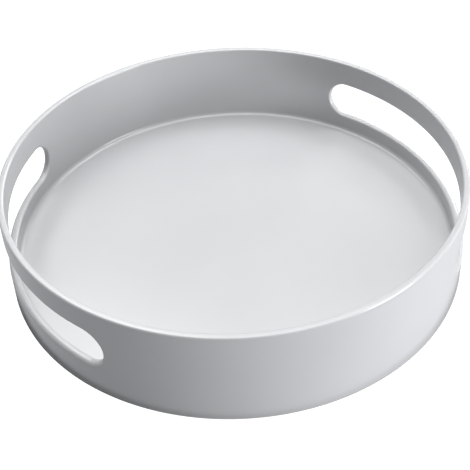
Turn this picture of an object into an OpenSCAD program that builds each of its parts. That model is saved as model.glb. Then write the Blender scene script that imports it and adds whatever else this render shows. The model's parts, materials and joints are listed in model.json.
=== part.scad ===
// Lazy susan turntable: a round tray with two long finger slots that turns on a
// ring of steel balls above a fixed base. Millimetres, +Z up. The origin is on the
// surface that the feet stand on, under the middle of the tray, and Z is the axis
// that the tray turns about. The finger slots lie on the X axis.

/* [Tray] */
// Outer diameter of the tray
tray_d = 292; // [270:1:320]
// Height of the tray, from the lower edge of its wall to the rim
tray_h = 64; // [60:1:80]
// Thickness of the wall at the rim
wall_t = 4.2; // [3:0.1:5]
// How much thicker the wall is just above the floor
wall_draft = 1.2; // [0.5:0.1:1.5]
// Radius of the rim's two edges
rim_edge_r = 1.3; // [0.8:0.1:1.4]
// Thickness of the floor
floor_t = 3; // [2.5:0.1:3.5]
// Height of the floor's upper face above the lower edge of the wall
floor_rise = 8.5; // [8.5:0.5:12]
// Radius of the curve between the floor and the wall
floor_fillet = 3; // [2:0.5:6]

/* [Finger slots] */
// Height of each slot
slot_h = 26; // [18:0.5:28]
// Drop from the rim to the upper edge of each slot
slot_drop = 17.5; // [14:0.5:20]
// Angle that each slot spans from end to end, in degrees
slot_span = 85; // [40:1:110]

/* [Base] */
// Diameter of the fixed base
base_d = 220; // [206:1:226]
// Thickness of the base plate
base_t = 2.5; // [2.2:0.1:2.8]
// Height of the tray wall's lower edge above the table
skirt_lift = 6; // [6:0.5:8]
// Number of feet
foot_count = 6; // [3:1:10]
// Diameter of each foot
foot_d = 16; // [12:1:18]
// Height of each foot below the base plate
foot_drop = 1.5; // [1.2:0.1:1.8]

/* [Ball bearing] */
// Diameter of the balls
ball_d = 6; // [5.8:0.1:6.2]
// Number of balls
ball_count = 12; // [6:1:16]
// Diameter of the circle that the balls run on
race_d = 150; // [120:1:160]
// Gap between a ball and each race
ball_gap = 0.12; // [0.05:0.01:0.2]

/* [Pivot] */
// Diameter of the spindle under the tray
spindle_d = 14; // [12:0.5:16]
// Radial clearance of the spindle in its bush
spindle_clearance = 0.05; // [0.02:0.01:0.1]
// Diameter of the retaining screw's thread
screw_d = 3.4; // [3:0.1:4]

/* [Hidden] */
BALLS = [for (i = [1:ball_count]) str("ball_", i)];
FEET = [for (i = [1:foot_count]) str("foot_", i)];
$fn = 96;
eps = 0.01; // overlap between shapes that are joined

// Tray
tray_r = tray_d / 2;
tray_inner_r = tray_r - wall_t;
floor_edge_r = tray_inner_r - wall_draft; // where the wall meets the floor
rim_z = skirt_lift + tray_h;
floor_top = skirt_lift + floor_rise;
floor_under = floor_top - floor_t;
skirt_edge_r = 0.6; // rounding of the wall's lower outer edge

// Finger slots
slot_z = rim_z - slot_drop - slot_h / 2;
wall_mid_r = tray_r - wall_t / 2;
slot_end_angle = slot_span / 2 - asin(slot_h / 2 / wall_mid_r);
slot_reach = 3; // how far the cutters pass the wall on each side
slot_end_proud = 0.03; // the round ends are this much higher than the stretch between them

// Ribs under the tray
inner_rib_h = 1.2; // between the collar and the race
outer_rib_h = 4; // outside the base
outer_rib_gap = 7; // between the base and the ring that carries the outer ribs

// Base
base_r = base_d / 2;
plate_under = foot_drop;
plate_top = plate_under + base_t;
lip_t = 2.5; // thickness of the base's upturned edge
lip_gap = 3.5; // between that edge and the tray above it
lip_top = floor_under - lip_gap;
rib_t = 1.6;
root = 1; // how far a rib reaches into the part that it stands on
rib_count = 12;
foot_r = foot_d / 2;
foot_circle_r = 94;
foot_seat = 1; // depth of a foot's socket
foot_slack = 0.1; // gap around a foot in its socket
foot_rim_w = 3.5; // width of the ring that a foot stands on
foot_dish_r = foot_r - foot_rim_w;
foot_dish = 0.4; // depth of the hollow under a foot

// Ball bearing
ball_r = ball_d / 2;
race_r = race_d / 2;
race_w = 12; // width of each race's ring
race_in = race_r - race_w / 2;
race_out = race_r + race_w / 2;
groove_r = ball_r + 0.3; // radius of the groove's section
ball_z = (plate_top + floor_under) / 2;
groove_bottom = ball_z - ball_r - ball_gap;
groove_top = ball_z + ball_r + ball_gap;
race_overlap = 1.35; // how far each race ring stands past the deepest point of its groove
cage_w = 16;
cage_t = 1.8;
cage_flange_t = 2.3;
cage_flange_w = 1.5;
pocket_r = ball_r + 0.3;
window_w = 5; // width of the openings between the cage's pockets

// Pivot
spindle_r = spindle_d / 2;
bush_bore_r = spindle_r + spindle_clearance;
bush_r = spindle_r + 2;
bush_flange_r = spindle_r + 6;
bush_flange_t = 1;
boss_r = spindle_r + 8;
boss_h = 5; // above the base plate
boss_top = plate_top + boss_h;
well_depth = 3.7; // of the hollow for the washer and the screw
boss_under = plate_under + well_depth;
collar_r = bush_flange_r;
collar_gap = 0.3; // between the bush's flange and the collar under the tray
washer_gap = 0.2; // between the washer and the base above it
spindle_end = boss_under - washer_gap;
washer_r = spindle_r + 3.5;
washer_t = 0.8;
washer_bore_r = screw_d / 2 + 0.3;
screw_head_r = 3.4;
screw_head_h = 1.3;
screw_cover = 1.5; // of the tray above the screw's tip
screw_tip_z = floor_under - screw_cover;
screw_pitch = 1.2;
screw_core_r = screw_d / 2 - 0.35;
pilot_r = screw_d / 2 + 0.05;
pilot_spare = 0.7; // depth of the screw's hole beyond its tip
screw_well_r = washer_r + 1;
cap_t = 1;
cap_ledge = 1.4; // width of the ledge that the cap lies against
cap_r = screw_well_r + cap_ledge;
cap_slack = 0.1;
cap_skirt_t = 0.8;
cap_skirt_h = 1.2;

// A ring between two radii and two heights
module ring(r_in, r_out, z_low, z_high) {
    translate([0, 0, z_low])
        difference() {
            cylinder(r = r_out, h = z_high - z_low);
            translate([0, 0, -1])
                cylinder(r = r_in, h = z_high - z_low + 2);
        }
}

// Radial ribs between two radii and two heights
module radial_ribs(r_in, r_out, z_low, z_high, count) {
    for (i = [0:count - 1])
        rotate([0, 0, (i + 0.5) * 360 / count])
            translate([r_in, -rib_t / 2, z_low])
                cube([r_out - r_in, rib_t, z_high - z_low]);
}

// The round groove that the balls run in, with its centre at height z
module race_groove(z) {
    rotate_extrude()
        translate([race_r, z])
            circle(r = groove_r, $fn = 48);
}

// Half section of the wall, the floor and the curve between them
module tray_section() {
    rim_arc_z = rim_z - rim_edge_r;
    fillet_r = floor_edge_r - floor_fillet;
    fillet_z = floor_top + floor_fillet;
    difference() {
        union() {
            translate([tray_inner_r, skirt_lift])
                square([wall_t, rim_arc_z - skirt_lift]);
            // what the draft adds to the wall
            polygon([
                [tray_inner_r + eps, rim_arc_z],
                [tray_inner_r, rim_arc_z],
                [floor_edge_r, fillet_z],
                [floor_edge_r, floor_under],
                [tray_inner_r + eps, floor_under]
            ]);
            translate([tray_inner_r + rim_edge_r, rim_arc_z - eps])
                square([wall_t - 2 * rim_edge_r, rim_edge_r + eps]);
            for (x = [tray_inner_r + rim_edge_r, tray_r - rim_edge_r])
                translate([x, rim_arc_z])
                    circle(r = rim_edge_r, $fn = 48);
            translate([0, floor_under])
                square([tray_inner_r + eps, floor_t]);
            translate([fillet_r, floor_top - eps])
                square([floor_fillet + eps, floor_fillet + eps]);
        }
        translate([fillet_r, fillet_z])
            circle(r = floor_fillet);
        translate([tray_r - skirt_edge_r, skirt_lift - eps])
            difference() {
                square([skirt_edge_r + 1, skirt_edge_r + eps]);
                translate([0, skirt_edge_r + eps])
                    circle(r = skirt_edge_r, $fn = 48);
            }
    }
}

// One finger slot through the wall on the +X side, with round ends
module slot_cutter() {
    cut_w = wall_t + 2 * slot_reach;
    straight_h = slot_h - 2 * slot_end_proud;
    translate([0, 0, slot_z]) {
        rotate([0, 0, -slot_end_angle])
            rotate_extrude(angle = 2 * slot_end_angle)
                translate([tray_inner_r - slot_reach, -straight_h / 2])
                    square([cut_w, straight_h]);
        for (side = [-1, 1])
            rotate([0, 0, side * slot_end_angle])
                translate([tray_inner_r - slot_reach, 0, 0])
                    rotate([0, 90, 0])
                        cylinder(r = slot_h / 2, h = cut_w);
    }
}

module tray() {
    race_low = groove_top - race_overlap;
    collar_low = boss_top + bush_flange_t + collar_gap;
    rib_ring_r = base_r + outer_rib_gap;
    rib_top = floor_under + eps;
    inner_rib_low = max(floor_under - inner_rib_h, collar_low);
    outer_rib_low = floor_under - outer_rib_h;
    color("gainsboro")
    difference() {
        union() {
            rotate_extrude()
                tray_section();
            // upper race, with the groove cut below
            ring(race_in, race_out, race_low, floor_under + eps);
            // collar and spindle in the middle
            translate([0, 0, collar_low])
                cylinder(r = collar_r, h = floor_under + eps - collar_low);
            translate([0, 0, spindle_end])
                cylinder(r = spindle_r, h = floor_under + eps - spindle_end);
            // stiffening ribs inside and outside the bearing
            radial_ribs(collar_r - root, race_in + root, inner_rib_low, rib_top, rib_count);
            ring(rib_ring_r, rib_ring_r + rib_t, outer_rib_low, rib_top);
            radial_ribs(rib_ring_r + root, tray_inner_r + root, outer_rib_low, rib_top, 2 * rib_count);
        }
        race_groove(groove_top - groove_r);
        translate([0, 0, spindle_end - 1])
            cylinder(r = pilot_r, h = screw_tip_z + pilot_spare + 1 - spindle_end, $fn = 48);
        slot_cutter();
        rotate([0, 0, 180])
            slot_cutter();
    }
}

module base_disc() {
    race_high = groove_bottom + race_overlap;
    color("whitesmoke")
    difference() {
        union() {
            translate([0, 0, plate_under])
                cylinder(r = base_r, h = base_t);
            ring(base_r - lip_t, base_r, plate_under, lip_top);
            // lower race, with the groove cut below
            ring(race_in, race_out, plate_top - eps, race_high);
            // centre boss that holds the bush
            translate([0, 0, plate_under])
                cylinder(r = boss_r, h = boss_top - plate_under);
            radial_ribs(boss_r - root, race_in + root, plate_top - eps, race_high, rib_count);
            radial_ribs(race_out - root, base_r - lip_t + root, plate_top - eps, race_high, rib_count);
        }
        race_groove(groove_bottom + groove_r);
        // seat of the bush, the well for the washer and screw, and the cap's seat
        translate([0, 0, plate_under])
            cylinder(r = bush_r, h = boss_top);
        translate([0, 0, plate_under - 1])
            cylinder(r = screw_well_r, h = boss_under - plate_under + 1);
        translate([0, 0, plate_under - 1])
            cylinder(r = cap_r, h = cap_t + 1);
        for (i = [0:foot_count - 1])
            rotate([0, 0, i * 360 / foot_count])
                translate([foot_circle_r, 0, plate_under - 1])
                    cylinder(r = foot_r + foot_slack, h = foot_seat + 1);
    }
}

// Flat ring with a pocket for each ball, a window between each pair of pockets
// and a thicker flange along both edges
module ball_cage() {
    step = 360 / ball_count;
    window_turn = step * 0.4;
    cage_in = race_r - cage_w / 2;
    cage_out = race_r + cage_w / 2;
    flange_low = ball_z - cage_flange_t / 2;
    flange_high = ball_z + cage_flange_t / 2;
    color("ivory")
    difference() {
        union() {
            ring(cage_in, cage_out, ball_z - cage_t / 2, ball_z + cage_t / 2);
            ring(cage_in, cage_in + cage_flange_w, flange_low, flange_high);
            ring(cage_out - cage_flange_w, cage_out, flange_low, flange_high);
        }
        for (i = [0:ball_count - 1])
            rotate([0, 0, i * step]) {
                translate([race_r, 0, ball_z - cage_flange_t])
                    cylinder(r = pocket_r, h = 2 * cage_flange_t);
                rotate([0, 0, (step - window_turn) / 2])
                    rotate_extrude(angle = window_turn)
                        translate([race_r - window_w / 2, ball_z - cage_flange_t])
                            square([window_w, 2 * cage_flange_t]);
            }
    }
}

// Ball number i, counted from the +X axis
module ball(i) {
    color("silver")
        rotate([0, 0, i * 360 / ball_count])
            translate([race_r, 0, ball_z])
                sphere(r = ball_r);
}

// Flanged bush that the spindle turns in
module pivot_bush() {
    color("antiquewhite")
    difference() {
        union() {
            translate([0, 0, boss_under])
                cylinder(r = bush_r, h = boss_top - boss_under + eps);
            translate([0, 0, boss_top])
                cylinder(r = bush_flange_r, h = bush_flange_t);
        }
        translate([0, 0, boss_under - 1])
            cylinder(r = bush_bore_r, h = boss_top + bush_flange_t - boss_under + 2);
    }
}

// Washer under the spindle's end that keeps the tray from lifting off
module pivot_washer() {
    color("lightsteelblue")
        ring(washer_bore_r, washer_r, spindle_end - washer_t, spindle_end);
}

// Pan head screw with a cross recess; its thread is a row of V ridges
module pivot_screw() {
    head_top = spindle_end - washer_t;
    head_under = head_top - screw_head_h;
    ridges = floor((screw_tip_z - 1 - spindle_end) / screw_pitch);
    recess_w = 0.8;
    recess_l = 3.6;
    recess_depth = 0.8;
    crown_r = screw_head_r * 1.8;
    color("silver")
    difference() {
        union() {
            rotate_extrude()
                intersection() {
                    translate([0, head_under])
                        square([screw_head_r, screw_head_h]);
                    translate([0, head_under + crown_r])
                        circle(r = crown_r);
                }
            translate([0, 0, head_top - eps])
                cylinder(r = screw_core_r, h = screw_tip_z - head_top);
            for (i = [0:ridges - 1])
                translate([0, 0, spindle_end + (i + 0.5) * screw_pitch])
                    rotate_extrude()
                        polygon([
                            [0, 0],
                            [screw_core_r, 0],
                            [screw_d / 2, screw_pitch * 0.3],
                            [screw_core_r, screw_pitch * 0.6],
                            [0, screw_pitch * 0.6]
                        ]);
        }
        for (turn = [0, 90])
            rotate([0, 0, turn])
                translate([-recess_l / 2, -recess_w / 2, head_under - 1])
                    cube([recess_l, recess_w, 1 + recess_depth]);
    }
}

// Cover that closes the screw's well from below, with a snap ring on its upper side
module pivot_cap() {
    cap_top = plate_under + cap_t;
    skirt_out = screw_well_r - cap_slack;
    notch_w = 4;
    notch_depth = 1.2;
    color("white")
    difference() {
        union() {
            translate([0, 0, plate_under])
                cylinder(r = cap_r - cap_slack, h = cap_t);
            ring(skirt_out - cap_skirt_t, skirt_out, cap_top - eps, cap_top + cap_skirt_h);
        }
        // notch for prying the cap out
        translate([cap_r - notch_depth, -notch_w / 2, plate_under - 1])
            cube([2 * notch_depth, notch_w, 1 + cap_t / 2]);
    }
}

// Foot number i, counted from the +X axis, with a shallow hollow under it
module foot(i) {
    edge = 0.5;
    color("darkgray")
        rotate([0, 0, i * 360 / foot_count])
            translate([foot_circle_r, 0, 0])
                rotate_extrude()
                    difference() {
                        union() {
                            square([foot_r - edge, edge + eps]);
                            translate([foot_r - edge, edge])
                                circle(r = edge, $fn = 32);
                            translate([0, edge])
                                square([foot_r, foot_drop + foot_seat - edge]);
                        }
                        translate([-1, -1])
                            square([1 + foot_dish_r, 1 + foot_dish]);
                        translate([-foot_r, 0])
                            square([foot_r, foot_drop + foot_seat + 1]);
                    }
}

tray();
base_disc();
ball_cage();
pivot_bush();
pivot_washer();
pivot_screw();
pivot_cap();
for (i = [0:ball_count - 1]) ball(i);
for (i = [0:foot_count - 1]) foot(i);
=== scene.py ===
"""Looks of the lazy susan turntable: the glossy moulded tray, and materials for its base and bearing."""
import json
import math

import bmesh
import bpy
from mathutils import Matrix, Vector


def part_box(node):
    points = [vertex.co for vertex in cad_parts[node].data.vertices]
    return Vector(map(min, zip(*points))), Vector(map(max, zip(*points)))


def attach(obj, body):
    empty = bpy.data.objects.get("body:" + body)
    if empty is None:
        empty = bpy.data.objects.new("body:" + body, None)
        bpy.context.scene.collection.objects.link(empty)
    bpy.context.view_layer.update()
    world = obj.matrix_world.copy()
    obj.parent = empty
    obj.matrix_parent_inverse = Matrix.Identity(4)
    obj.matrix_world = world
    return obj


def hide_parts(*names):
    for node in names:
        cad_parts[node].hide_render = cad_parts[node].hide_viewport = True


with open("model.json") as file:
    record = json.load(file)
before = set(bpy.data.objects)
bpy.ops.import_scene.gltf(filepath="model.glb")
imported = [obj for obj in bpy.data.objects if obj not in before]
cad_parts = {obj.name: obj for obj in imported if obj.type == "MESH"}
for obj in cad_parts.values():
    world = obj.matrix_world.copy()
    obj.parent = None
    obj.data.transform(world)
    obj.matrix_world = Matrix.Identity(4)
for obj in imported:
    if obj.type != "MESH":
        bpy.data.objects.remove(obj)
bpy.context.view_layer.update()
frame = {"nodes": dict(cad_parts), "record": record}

MM = 0.001

# Sizes of the tray, as in the CAD model
tray_low, tray_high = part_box("tray")
TRAY_R = tray_high.x
SKIRT_Z = tray_low.z
RIM_Z = tray_high.z
WALL_T = 4.2 * MM
INNER_R = TRAY_R - WALL_T
MID_R = TRAY_R - WALL_T / 2
FLOOR_TOP = next(m for m in frame["record"]["mounts"] if m["name"] == "tray_floor")["pos_m"][2]
FLOOR_UNDER = FLOOR_TOP - 3 * MM
FLOOR_FILLET = 3 * MM
WALL_DRAFT = 1.2 * MM  # how much thicker the wall is just above the floor
RIM_EDGE = 1.3 * MM  # radius of the rim's two edges
LIP_EDGE = 2.2 * MM  # radius of the slots' outer edges
LIP_INNER = 1.3 * MM  # radius of the slots' inner edges
SKIRT_EDGE = 1.5 * MM  # radius of the wall's lower outer edge
SLOT_H = 26 * MM
SLOT_DROP = 17.5 * MM
SLOT_SPAN = math.radians(85)
SLOT_Z = RIM_Z - SLOT_DROP - SLOT_H / 2
SLOT_END = SLOT_SPAN / 2 - math.asin(SLOT_H / 2 / MID_R)  # angle to the middle of a slot's round end
RIM_ARC_Z = RIM_Z - RIM_EDGE

# Under the floor
RACE_R = 75 * MM  # circle of the balls
RACE_HALF = 6 * MM  # half width of the raised race
RING_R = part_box("base_disc")[1].x + 7 * MM  # low ring wall that stands round the base's edge
RING_T = 1.6 * MM
COLLAR_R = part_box("pivot_bush")[1].x
OUTER_RIBS = 24
OUTER_RIB_H = 4 * MM
INNER_RIBS = 12
INNER_RIB_H = 1.2 * MM
RIB_SINK = 1 * MM  # how far ribs reach into the walls and the floor they join

# Fineness of the tray's mesh
STRAIGHT_STEPS = 60  # columns along the straight stretch of a slot
EIGHTH_STEPS = 10  # steps in each eighth of the round slot ends
BETWEEN_STEPS = 72  # columns between the slots
EDGE_STEPS = 8  # steps across each rounded edge of the rim and the slots
FRAME_HALF = 16 * MM  # half height of the square frame of faces round each slot end


# ---------------------------------------------------------------- shapes

def arc(centre_r, centre_z, radius, start, stop, steps):
    """Points (r, z) on an arc of the half section, with angles in degrees."""
    angles = [math.radians(start + (stop - start) * i / steps) for i in range(steps + 1)]
    return [(centre_r + radius * math.cos(a), centre_z + radius * math.sin(a)) for a in angles]


def rounded(corners, steps=4):
    """The open line through corners (r, z, radius), with each inner corner rounded to its radius."""
    points = [Vector((r, z)) for r, z, _ in corners]
    line = [tuple(points[0])]
    for before, corner, after, (_, _, radius) in zip(points, points[1:], points[2:], corners[1:]):
        towards_before = (before - corner).normalized()
        towards_after = (after - corner).normalized()
        half = towards_before.angle(towards_after) / 2
        if radius == 0:
            line.append(tuple(corner))
            continue
        start = corner + towards_before * radius / math.tan(half)
        centre = corner + (towards_before + towards_after).normalized() * radius / math.sin(half)
        first = start - centre
        clockwise = first.x * towards_before.y - first.y * towards_before.x > 0
        turn = (math.pi - 2 * half) * (1 if clockwise else -1)
        for i in range(steps + 1):
            a = turn * -i / steps
            c, s = math.cos(a), math.sin(a)
            line.append((centre.x + first.x * c - first.y * s, centre.y + first.x * s + first.y * c))
    line.append(tuple(points[-1]))
    return line


def slot_rows():
    """Heights of the mesh rows beside a slot, which meet the square frames round its ends."""
    angles = [math.radians(45 * i / EIGHTH_STEPS) for i in range(-EIGHTH_STEPS, EIGHTH_STEPS + 1)]
    return [SLOT_Z + FRAME_HALF * math.tan(a) for a in angles]


def columns():
    """Angles of the mesh columns round the whole tray, with the slots at 0 and 180 degrees."""
    straight = [SLOT_END * (2 * i / STRAIGHT_STEPS - 1) for i in range(STRAIGHT_STEPS + 1)]
    ends = [
        SLOT_END + FRAME_HALF * math.tan(math.radians(45 * i / EIGHTH_STEPS)) / MID_R
        for i in range(1, EIGHTH_STEPS + 1)
    ]
    sector = [-a for a in reversed(ends)] + straight + ends
    gap = math.pi - 2 * ends[-1]
    between = [ends[-1] + gap * i / BETWEEN_STEPS for i in range(1, BETWEEN_STEPS)]
    half = sector + between
    return half + [a + math.pi for a in half]


def tray_outline():
    """The tray's half section as rows (r, z, beside_slot), from its floor over the rim and back below."""
    hold = 0.5 * MM  # how far a flat row lies from the start of a curve
    inner_rows = [(INNER_R, z, True) for z in slot_rows()]
    outer_rows = [(TRAY_R, z, True) for z in reversed(slot_rows())]
    floor = [(r * MM, FLOOR_TOP) for r in (0, 10, 30, 60, 90, 115, 130)]
    floor.append((INNER_R - FLOOR_FILLET - hold, FLOOR_TOP))
    fillet = arc(INNER_R - FLOOR_FILLET, FLOOR_TOP + FLOOR_FILLET, FLOOR_FILLET, -90, 0, 12)
    upper_inner = [(INNER_R, RIM_Z - SLOT_DROP / 2), (INNER_R, RIM_ARC_Z - hold)]
    rim = arc(INNER_R + RIM_EDGE, RIM_ARC_Z, RIM_EDGE, 180, 90, EDGE_STEPS)
    rim += arc(TRAY_R - RIM_EDGE, RIM_ARC_Z, RIM_EDGE, 90, 0, EDGE_STEPS)
    upper_outer = [(p[0] + WALL_T, p[1]) for p in reversed(upper_inner)]
    top = floor + fillet + inner_rows + upper_inner + rim + upper_outer + outer_rows
    lower = [(TRAY_R, SLOT_Z - FRAME_HALF - 4 * MM)] + underside()
    return [row if len(row) == 3 else (*row, False) for row in top + lower]


def underside():
    """The half section below: wall edge, rib ring, upper race with its groove, collar and spindle."""
    ball_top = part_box("ball_1")[1].z
    groove_top = ball_top + 0.12 * MM  # a little clear of the balls
    groove_r = 3.3 * MM
    groove_z = groove_top - groove_r
    race_low = groove_top - 1.35 * MM  # less the depth of the groove
    mouth = math.degrees(math.asin((race_low - groove_z) / groove_r))
    mouth_half = groove_r * math.cos(math.radians(mouth))
    ring_z = FLOOR_UNDER - OUTER_RIB_H
    collar_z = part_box("pivot_bush")[1].z + 0.3 * MM
    spindle_r = 7 * MM
    spindle_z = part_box("pivot_washer")[1].z
    pilot_r = 1.75 * MM  # the screw's hole in the spindle
    pilot_z = FLOOR_UNDER - 0.8 * MM
    root = 0.8 * MM  # fillet where a wall joins the floor
    tip = 0.5 * MM  # rounding of a wall's free edge
    outside = rounded([
        (TRAY_R, SLOT_Z - FRAME_HALF - 8 * MM, 0),
        (TRAY_R, SKIRT_Z, SKIRT_EDGE),
        (INNER_R, SKIRT_Z, tip),
        (INNER_R, FLOOR_UNDER, root),
        (RING_R + RING_T, FLOOR_UNDER, root),
        (RING_R + RING_T, ring_z, tip),
        (RING_R, ring_z, tip),
        (RING_R, FLOOR_UNDER, root),
        (RACE_R + RACE_HALF, FLOOR_UNDER, root),
        (RACE_R + RACE_HALF, race_low, tip),
        (RACE_R + mouth_half, race_low, 0),
    ])
    groove = arc(RACE_R, groove_z, groove_r, mouth, 180 - mouth, 12)[1:]
    inside = rounded([
        (RACE_R - mouth_half, race_low, 0),
        (RACE_R - RACE_HALF, race_low, tip),
        (RACE_R - RACE_HALF, FLOOR_UNDER, root),
        (COLLAR_R, FLOOR_UNDER, root),
        (COLLAR_R, collar_z, tip),
        (spindle_r, collar_z, root / 2),
        (spindle_r, spindle_z, tip),
        (pilot_r, spindle_z, tip / 2),
        (pilot_r, pilot_z, 0),
        (0, pilot_z, 0),
    ])[1:]
    return outside + groove + inside


def slot_ring(out, centre, margin=0.0, frame_share=0.0):
    """
    One closed ring of points round a slot: out is the distance from the tray's axis, and margin is
    how far the ring lies outside the slot's edge. frame_share moves it towards the square frame,
    where 1 is the frame itself.
    """
    radius = SLOT_H / 2 + margin
    places = [(SLOT_END * (2 * i / STRAIGHT_STEPS - 1), 90) for i in range(STRAIGHT_STEPS)]
    places += [(SLOT_END, 90 - 45 * i / EIGHTH_STEPS) for i in range(4 * EIGHTH_STEPS)]
    ring = []
    for sign in (1, -1):
        for angle, direction in places:
            c = math.cos(math.radians(direction))
            s = math.sin(math.radians(direction))
            square = FRAME_HALF / max(abs(c), abs(s))
            reach = radius + (square - radius) * frame_share
            theta = centre + sign * (angle + reach * c / MID_R)
            ring.append(Vector((out * math.cos(theta), out * math.sin(theta), SLOT_Z + sign * reach * s)))
    return ring


def slot_rings(centre):
    """Rings from the outer wall over the slot's two rounded edges to the inner wall."""
    margin = LIP_EDGE + 0.3 * MM
    lip = arc(TRAY_R - LIP_EDGE, LIP_EDGE, LIP_EDGE, 0, -90, EDGE_STEPS)
    lip += arc(INNER_R + LIP_INNER, LIP_INNER, LIP_INNER, -90, -180, EDGE_STEPS)
    rings = [slot_ring(TRAY_R, centre, margin, share) for share in (1, 0.6, 0.25, 0)]
    rings += [slot_ring(out, centre, inset) for out, inset in lip]
    rings += [slot_ring(INNER_R, centre, margin, share) for share in (0, 0.25, 0.6, 1)]
    return rings


def join_rings(bm, rings):
    """Faces between closed rings of points that follow each other."""
    loops = [[bm.verts.new(p) for p in ring] for ring in rings]
    for a, b in zip(loops, loops[1:]):
        for i in range(len(a)):
            j = (i + 1) % len(a)
            bm.faces.new((a[i], a[j], b[j], b[i]))


def add_revolved_wall(bm, rows, angles):
    """Turns the half section about the axis, and leaves out the square frames that hold the slots."""
    half_sector = SLOT_END + FRAME_HALF / MID_R + 1e-6
    grid = []
    for r, z, _ in rows:
        if r == 0:
            grid.append([bm.verts.new((0, 0, z))] * len(angles))
            continue
        grid.append([bm.verts.new((r * math.cos(a), r * math.sin(a), z)) for a in angles])
    for i in range(len(rows) - 1):
        beside_slot = rows[i][2] and rows[i + 1][2]
        for j in range(len(angles)):
            k = (j + 1) % len(angles)
            middle = (angles[j] + (angles[k] - angles[j]) % math.tau / 2) % math.pi
            in_sector = min(middle, math.pi - middle) < half_sector
            if beside_slot and in_sector:
                continue
            corners = [grid[i][j], grid[i][k], grid[i + 1][k], grid[i + 1][j]]
            bm.faces.new(list(dict.fromkeys(corners)))


def add_draft(bm):
    """Thickens the wall towards the floor on its inner side, and draws the floor in to meet it."""
    fillet_z = FLOOR_TOP + FLOOR_FILLET
    for vert in bm.verts:
        if vert.co.z < (FLOOR_TOP + FLOOR_UNDER) / 2:
            continue
        depth = (RIM_ARC_Z - vert.co.z) / (RIM_ARC_Z - fillet_z)
        inward = (TRAY_R - vert.co.xy.length) / WALL_T
        share = min(max(depth, 0), 1) * min(max(inward, 0), 1)
        vert.co.x *= 1 - WALL_DRAFT / INNER_R * share
        vert.co.y *= 1 - WALL_DRAFT / INNER_R * share


def add_rib(bm, r_in, r_out, height, angle):
    """A straight radial rib under the floor, with a round lower edge."""
    half = 0.8 * MM
    top = FLOOR_UNDER + RIB_SINK
    round_z = FLOOR_UNDER - height + half
    section = [(half, top)] + arc(0, round_z, half, 0, -180, 6) + [(-half, top)]
    turn = Matrix.Rotation(angle, 4, "Z")
    ends = [[bm.verts.new(turn @ Vector((r, y, z))) for y, z in section] for r in (r_in, r_out)]
    for i in range(len(section)):
        j = (i + 1) % len(section)
        bm.faces.new((ends[0][i], ends[0][j], ends[1][j], ends[1][i]))
    bm.faces.new(ends[0])
    bm.faces.new(ends[1])


def add_ribs(bm, count, r_in, r_out, height):
    """A ring of equal radial ribs, whose ends lie inside the walls at r_in and r_out."""
    for i in range(count):
        add_rib(bm, r_in, r_out, height, (i + 0.5) * math.tau / count)


def make_tray():
    """The tray's finer mesh, in the place of its CAD solid."""
    bm = bmesh.new()
    add_revolved_wall(bm, tray_outline(), columns())
    for centre in (0, math.pi):
        join_rings(bm, slot_rings(centre))
    bmesh.ops.remove_doubles(bm, verts=bm.verts, dist=0.004 * MM)
    add_draft(bm)
    add_ribs(bm, OUTER_RIBS, RING_R + RIB_SINK, INNER_R + RIB_SINK, OUTER_RIB_H)
    add_ribs(bm, INNER_RIBS, COLLAR_R - RIB_SINK, RACE_R - RACE_HALF + RIB_SINK, INNER_RIB_H)
    bmesh.ops.recalc_face_normals(bm, faces=bm.faces)
    mesh = bpy.data.meshes.new("tray_moulding")
    bm.to_mesh(mesh)
    bm.free()
    mesh.shade_smooth()
    mesh.set_sharp_from_angle(angle=math.radians(42))
    tray = bpy.data.objects.new("tray_moulding", mesh)
    bpy.context.scene.collection.objects.link(tray)
    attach(tray, "tray")
    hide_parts("tray")
    return tray


# ---------------------------------------------------------------- materials

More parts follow.
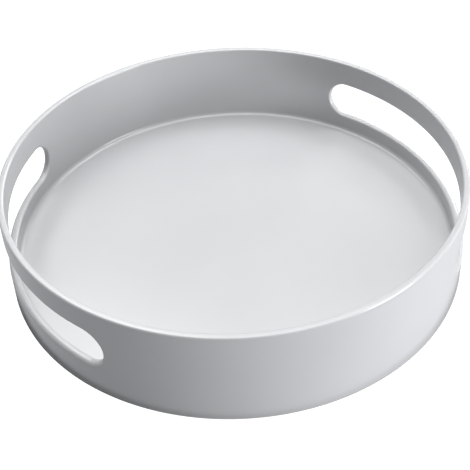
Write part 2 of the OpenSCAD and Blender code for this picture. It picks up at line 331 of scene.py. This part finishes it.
class Nodes:
    """Short ways to add and join the nodes of one material."""

    def __init__(self, name):
        self.material = bpy.data.materials.new(name)
        self.material.use_nodes = True
        self.tree = self.material.node_tree
        self.shader = self.tree.nodes["Principled BSDF"]
        self.place = self.add("ShaderNodeTexCoord").outputs["Object"]

    def add(self, kind, **settings):
        node = self.tree.nodes.new(kind)
        for key, value in settings.items():
            setattr(node, key, value)
        return node

    def link(self, source, target):
        self.tree.links.new(source, target)

    def noise(self, scale, detail=4.0, roughness=0.5, stretch=(1, 1, 1)):
        """Noise with that many features to a metre."""
        mapping = self.add("ShaderNodeMapping")
        mapping.inputs["Scale"].default_value = stretch
        self.link(self.place, mapping.inputs["Vector"])
        node = self.add("ShaderNodeTexNoise")
        node.inputs["Scale"].default_value = scale
        node.inputs["Detail"].default_value = detail
        node.inputs["Roughness"].default_value = roughness
        self.link(mapping.outputs["Vector"], node.inputs["Vector"])
        return node.outputs["Fac"]

    def remap(self, source, low, high, from_low=0.3, from_high=0.7):
        """Stretches the usual range of a noise to low ... high."""
        node = self.add("ShaderNodeMapRange")
        node.inputs["From Min"].default_value = from_low
        node.inputs["From Max"].default_value = from_high
        node.inputs["To Min"].default_value = low
        node.inputs["To Max"].default_value = high
        self.link(source, node.inputs["Value"])
        return node.outputs["Result"]

    def math(self, operation, a, b):
        node = self.add("ShaderNodeMath", operation=operation)
        for socket, value in zip(node.inputs, (a, b)):
            if isinstance(value, (int, float)):
                socket.default_value = value
            else:
                self.link(value, socket)
        return node.outputs["Value"]

    def tint(self, share, dark, light):
        """A colour that goes from dark to light with share."""
        node = self.add("ShaderNodeMix", data_type="RGBA")
        node.inputs["A"].default_value = (*dark, 1)
        node.inputs["B"].default_value = (*light, 1)
        self.link(share, node.inputs["Factor"])
        self.link(node.outputs["Result"], self.shader.inputs["Base Color"])

    def bump(self, height, distance):
        node = self.add("ShaderNodeBump")
        node.inputs["Distance"].default_value = distance
        node.inputs["Strength"].default_value = 1
        self.link(height, node.inputs["Height"])
        self.link(node.outputs["Normal"], self.shader.inputs["Normal"])

    def gloss(self, value):
        self.link(value, self.shader.inputs["Roughness"])

    def set(self, **values):
        """Sets the shader's own sockets, with _ for each space in their names."""
        for key, value in values.items():
            self.shader.inputs[key.replace("_", " ")].default_value = value


def shade(colour, share):
    """The colour made darker or lighter by a factor."""
    return tuple(c * share for c in colour)


def moulded_plastic(name, colour, roughness, spread, peel):
    """Moulded plastic: its colour drifts a little, its gloss is uneven, and it has a faint orange peel."""
    n = Nodes(name)
    drift = n.remap(n.noise(14, 3), 0, 1)
    n.tint(drift, shade(colour, 0.975), shade(colour, 1.015))
    clouds = n.noise(45, 5, 0.6)
    rubbing = n.noise(160, 6, 0.7, stretch=(1, 9, 1))
    uneven = n.math("ADD", n.math("MULTIPLY", clouds, 0.6), n.math("MULTIPLY", rubbing, 0.4))
    n.gloss(n.remap(uneven, roughness - spread, roughness + spread))
    n.bump(n.noise(900, 2, 0.4), peel)
    n.set(IOR=1.59)
    return n.material


def natural_plastic(name, colour, roughness):
    """Uncoloured bearing plastic, slightly waxy, with flow clouds in its colour."""
    n = Nodes(name)
    n.tint(n.remap(n.noise(120, 5, 0.6), 0, 1), shade(colour, 0.93), colour)
    n.gloss(n.remap(n.noise(400, 4), roughness - 0.06, roughness + 0.08))
    n.bump(n.noise(1500, 3), 0.02 * MM)
    n.set(Subsurface_Weight=0.15, Subsurface_Scale=2 * MM)
    return n.material


def polished_steel(name):
    """Ground and polished balls, with hairline marks from running."""
    n = Nodes(name)
    marks = n.noise(2500, 6, 0.7, stretch=(1, 1, 14))
    n.tint(n.remap(marks, 0, 1), (0.56, 0.57, 0.59), (0.66, 0.67, 0.68))
    n.gloss(n.remap(marks, 0.05, 0.16))
    n.bump(marks, 0.004 * MM)
    n.set(Metallic=1.0)
    return n.material


def zinc_plate(name):
    """Blue zinc plating on pressed steel, mottled and slightly milky."""
    n = Nodes(name)
    mottle = n.noise(700, 5, 0.65)
    n.tint(n.remap(mottle, 0, 1), (0.50, 0.52, 0.55), (0.66, 0.68, 0.70))
    n.gloss(n.remap(n.noise(1800, 5), 0.24, 0.42))
    n.bump(mottle, 0.01 * MM)
    n.set(Metallic=1.0)
    return n.material


def soft_rubber(name, colour):
    """Matt soft rubber with a fine grain and a little dust in it."""
    n = Nodes(name)
    dust = n.noise(260, 6, 0.7)
    n.tint(n.remap(dust, 0, 1, 0.4, 0.75), colour, shade(colour, 1.5))
    n.gloss(n.remap(n.noise(900, 4), 0.68, 0.88))
    n.bump(n.noise(3000, 3), 0.06 * MM)
    n.set(Specular_IOR_Level=0.35)
    return n.material


def paint(obj, material):
    """Gives the object that one material."""
    obj.data.materials.clear()
    obj.data.materials.append(material)


# ---------------------------------------------------------------- stage, lights and camera

VIEW_TURN = math.radians(15.8)  # the slots' line is turned this far from the camera's right


def make_camera():
    """The camera stands in front of the tray and above it, tipped down, with its frame set low."""
    ahead = 512.2 * MM
    above = 458.2 * MM
    aside = math.radians(0.12)
    tip_down = math.radians(38.34)
    roll = math.radians(-2.76)
    data = bpy.data.cameras.new("camera")
    data.sensor_width = 36
    data.lens = 78.8
    data.shift_y = -0.1
    data.clip_start = 0.01
    data.clip_end = 100
    camera = bpy.data.objects.new("camera", data)
    bpy.context.scene.collection.objects.link(camera)
    level = Vector((math.sin(aside), math.cos(aside), 0))
    forward = level * math.cos(tip_down) - Vector((0, 0, math.sin(tip_down)))
    right = forward.cross(Vector((0, 0, 1))).normalized()
    up = right.cross(forward)
    turned_right = math.cos(roll) * right + math.sin(roll) * up
    turned_up = math.cos(roll) * up - math.sin(roll) * right
    axes = Matrix((turned_right, turned_up, -forward)).transposed().to_4x4()
    place = Matrix.Translation((0, -ahead, above)) @ axes
    camera.matrix_world = Matrix.Rotation(-VIEW_TURN, 4, "Z") @ place
    bpy.context.scene.camera = camera


def softbox(name, bearing, elevation, power, size=0.5, distance=1.3):
    """A square lamp that looks at the tray. Bearing 0 is the camera's side, and 90 is on its right."""
    a = math.radians(bearing) - VIEW_TURN
    e = math.radians(elevation)
    away = Vector((math.sin(a) * math.cos(e), -math.cos(a) * math.cos(e), math.sin(e)))
    data = bpy.data.lights.new(name, "AREA")
    data.shape = "SQUARE"
    data.size = size
    data.energy = power
    lamp = bpy.data.objects.new(name, data)
    lamp.location = Vector((0, 0, RIM_Z / 2)) + away * distance
    lamp.rotation_mode = "QUATERNION"
    lamp.rotation_quaternion = (-away).to_track_quat("-Z", "Y")
    bpy.context.scene.collection.objects.link(lamp)


def stage_material(name, glow, albedo, see_through_below=False, tone=(1, 1, 1)):
    """Paper that glows and throws back a share of the light; it can be clear when seen from below."""
    material = bpy.data.materials.new(name)
    material.use_nodes = True
    nodes = material.node_tree.nodes
    links = material.node_tree.links
    shader = nodes["Principled BSDF"]
    shader.inputs["Base Color"].default_value = (albedo, albedo, albedo, 1)
    shader.inputs["Roughness"].default_value = 1
    shader.inputs["Specular IOR Level"].default_value = 0
    shader.inputs["Emission Color"].default_value = (*tone, 1)
    shader.inputs["Emission Strength"].default_value = glow
    if see_through_below:
        side = nodes.new("ShaderNodeNewGeometry").outputs["Backfacing"]
        clear = nodes.new("ShaderNodeBsdfTransparent")
        mix = nodes.new("ShaderNodeMixShader")
        links.new(side, mix.inputs[0])
        links.new(shader.outputs[0], mix.inputs[1])
        links.new(clear.outputs[0], mix.inputs[2])
        links.new(mix.outputs[0], nodes["Material Output"].inputs["Surface"])
    return material


def add_stage(name, build, material, camera=True, glossy=False, diffuse=False):
    """A stage piece without a shadow, seen only by the kinds of ray that are switched on."""
    bm = bmesh.new()
    build(bm)
    mesh = bpy.data.meshes.new(name)
    bm.to_mesh(mesh)
    bm.free()
    mesh.materials.append(material)
    obj = bpy.data.objects.new(name, mesh)
    obj.visible_camera = camera
    obj.visible_glossy = glossy
    obj.visible_diffuse = diffuse
    obj.visible_shadow = False
    bpy.context.scene.collection.objects.link(obj)


def make_stage():
    """White paper under the tray and all round it, and a dimmer sheet for what the paper throws back."""
    reach = 8.0
    shaded_r = TRAY_R + 6 * MM  # the tray keeps light from the paper under it and just beside it
    cool = (0.98, 0.985, 1.02)

    def circle(radius, steps=64):
        angles = [math.tau * i / steps for i in range(steps)]
        return [Vector((radius * math.cos(a), radius * math.sin(a), 0)) for a in angles]

    def disc(bm):
        bmesh.ops.create_circle(bm, cap_ends=True, radius=reach, segments=64)

    def open_disc(bm):
        join_rings(bm, [circle(reach), circle(shaded_r)])

    def dome(bm):
        bmesh.ops.create_uvsphere(bm, u_segments=64, v_segments=32, radius=reach)

    paper = stage_material("floor_paper", glow=1.1, albedo=0.1, see_through_below=True)
    bounce = stage_material("bounce_paper", glow=0.69, albedo=0, see_through_below=True, tone=cool)
    backdrop = stage_material("backdrop_paper", glow=1, albedo=0)
    add_stage("floor", disc, paper)
    add_stage("bounce", open_disc, bounce, camera=False, glossy=True, diffuse=True)
    add_stage("backdrop", dome, backdrop)


def make_lights():
    """Softboxes all round, in a world that gives next to no light itself."""
    world = bpy.data.worlds.new("world")
    world.use_nodes = True
    sky = world.node_tree.nodes["Background"]
    sky.inputs["Color"].default_value = (0.95, 0.975, 1.0, 1)
    sky.inputs["Strength"].default_value = 0.01
    bpy.context.scene.world = world
    softbox("ceiling", bearing=0, elevation=90, power=26.5, size=1.4)
    softbox("key", bearing=60, elevation=1, power=20.8)
    softbox("side_low", bearing=150, elevation=16, power=7.7)
    softbox("side_high", bearing=120, elevation=55, power=4.2)
    softbox("back_left", bearing=210, elevation=55, power=3.9)
    softbox("back_high", bearing=180, elevation=55, power=1.2)
    softbox("back_low", bearing=180, elevation=30, power=0.83)
    softbox("from_below", bearing=0, elevation=-89, power=0.8, size=0.6, distance=0.9)


# ---------------------------------------------------------------- the whole picture

TRAY_GREY = (0.42, 0.424, 0.436)
BASE_GREY = (0.56, 0.565, 0.58)
CAGE_CREAM = (0.66, 0.63, 0.55)
BUSH_CREAM = (0.72, 0.69, 0.60)
RUBBER_GREY = (0.16, 0.165, 0.17)


def make_materials():
    """One material for each material slot of the record."""
    return {
        "tray_plastic": moulded_plastic("tray_plastic", TRAY_GREY, 0.23, spread=0.035, peel=0.006 * MM),
        "ball_steel": polished_steel("ball_steel"),
        "zinc_steel": zinc_plate("zinc_steel"),
        "foot_rubber": soft_rubber("foot_rubber", RUBBER_GREY),
        "base_plastic": moulded_plastic("base_plastic", BASE_GREY, 0.42, spread=0.07, peel=0.03 * MM),
        "cage_plastic": natural_plastic("cage_plastic", CAGE_CREAM, 0.42),
        "bush_plastic": natural_plastic("bush_plastic", BUSH_CREAM, 0.30),
    }


def dress_pieces(tray):
    """Paints the tray's mesh and the CAD nodes that stay visible, each with its slot's material."""
    materials = make_materials()
    paint(tray, materials["tray_plastic"])
    for part in frame["record"]["subparts"]:
        if part["node"] != "tray":
            node = frame["nodes"][part["node"]]
            paint(node, materials[part["material_slot"]])


dress_pieces(make_tray())
make_camera()
make_stage()
make_lights()
bpy.context.scene.view_settings.view_transform = "Standard"
